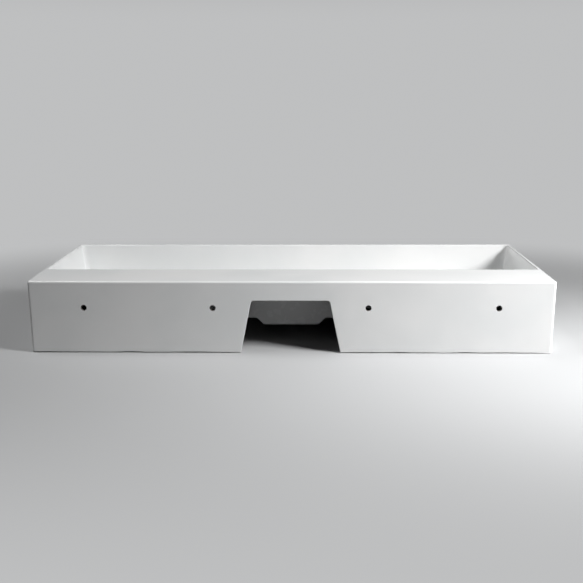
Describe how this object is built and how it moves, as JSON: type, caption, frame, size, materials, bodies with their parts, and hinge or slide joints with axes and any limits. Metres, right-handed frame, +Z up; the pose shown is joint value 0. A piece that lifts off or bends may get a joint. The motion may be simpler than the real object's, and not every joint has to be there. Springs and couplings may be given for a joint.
{
  "type": "trough sink",
  "caption": "Long shallow wall-hung basin with one drafted bowl, a flat rear ledge, a skirt notched for pipes, a push-to-open drain plug and an overflow.",
  "frame": {"origin": "centre of the footprint, on the surface that the skirt stands on", "axes": "+X along the length, to the right of a person at the basin; +Y towards the wall; +Z up"},
  "size_m": [1.2, 0.45, 0.17],
  "materials": {
    "white_glaze": "glossy white glaze over fireclay",
    "chrome_plate": "polished chrome plate",
    "bare_brass": "machined, unplated",
    "black_rubber": "moulded, matt",
    "white_acetal": "moulded, satin",
    "grey_acetal": "moulded, satin",
    "spring_wire": "drawn stainless wire"
  },
  "bodies": {
    "basin": {"trough_basin": "white_glaze", "waste_body": "chrome_plate", "waste_flange_gasket": "black_rubber", "waste_cone_washer": "black_rubber", "waste_slip_washer": "white_acetal", "waste_backnut": "bare_brass", "cartridge_housing": "grey_acetal", "cartridge_collar": "bare_brass", "cartridge_spring": "spring_wire", "overflow_trim": "chrome_plate", "overflow_clip": "white_acetal"},
    "plug": {"plug_stem": "bare_brass", "plug_cap": "chrome_plate", "plug_seal": "black_rubber"},
    "latch": {"latch_ring": "white_acetal"}
  },
  "joints": [
    {"name": "plug_lift", "type": "slide", "parent": "basin", "child": "plug", "axis": [0, 0, 1], "range_m": [0, 0.008], "deforming": ["cartridge_spring"]},
    {"name": "latch_turn", "type": "hinge", "parent": "plug", "child": "latch", "pos_m": [0, -0.06, 0.051], "axis": [0, 0, 1], "range_deg": [0, 60]}
  ],
  "couplings": [
    {"joint": "latch_turn", "follows": "plug_lift", "rad_per_m": 130.8}
  ]
}
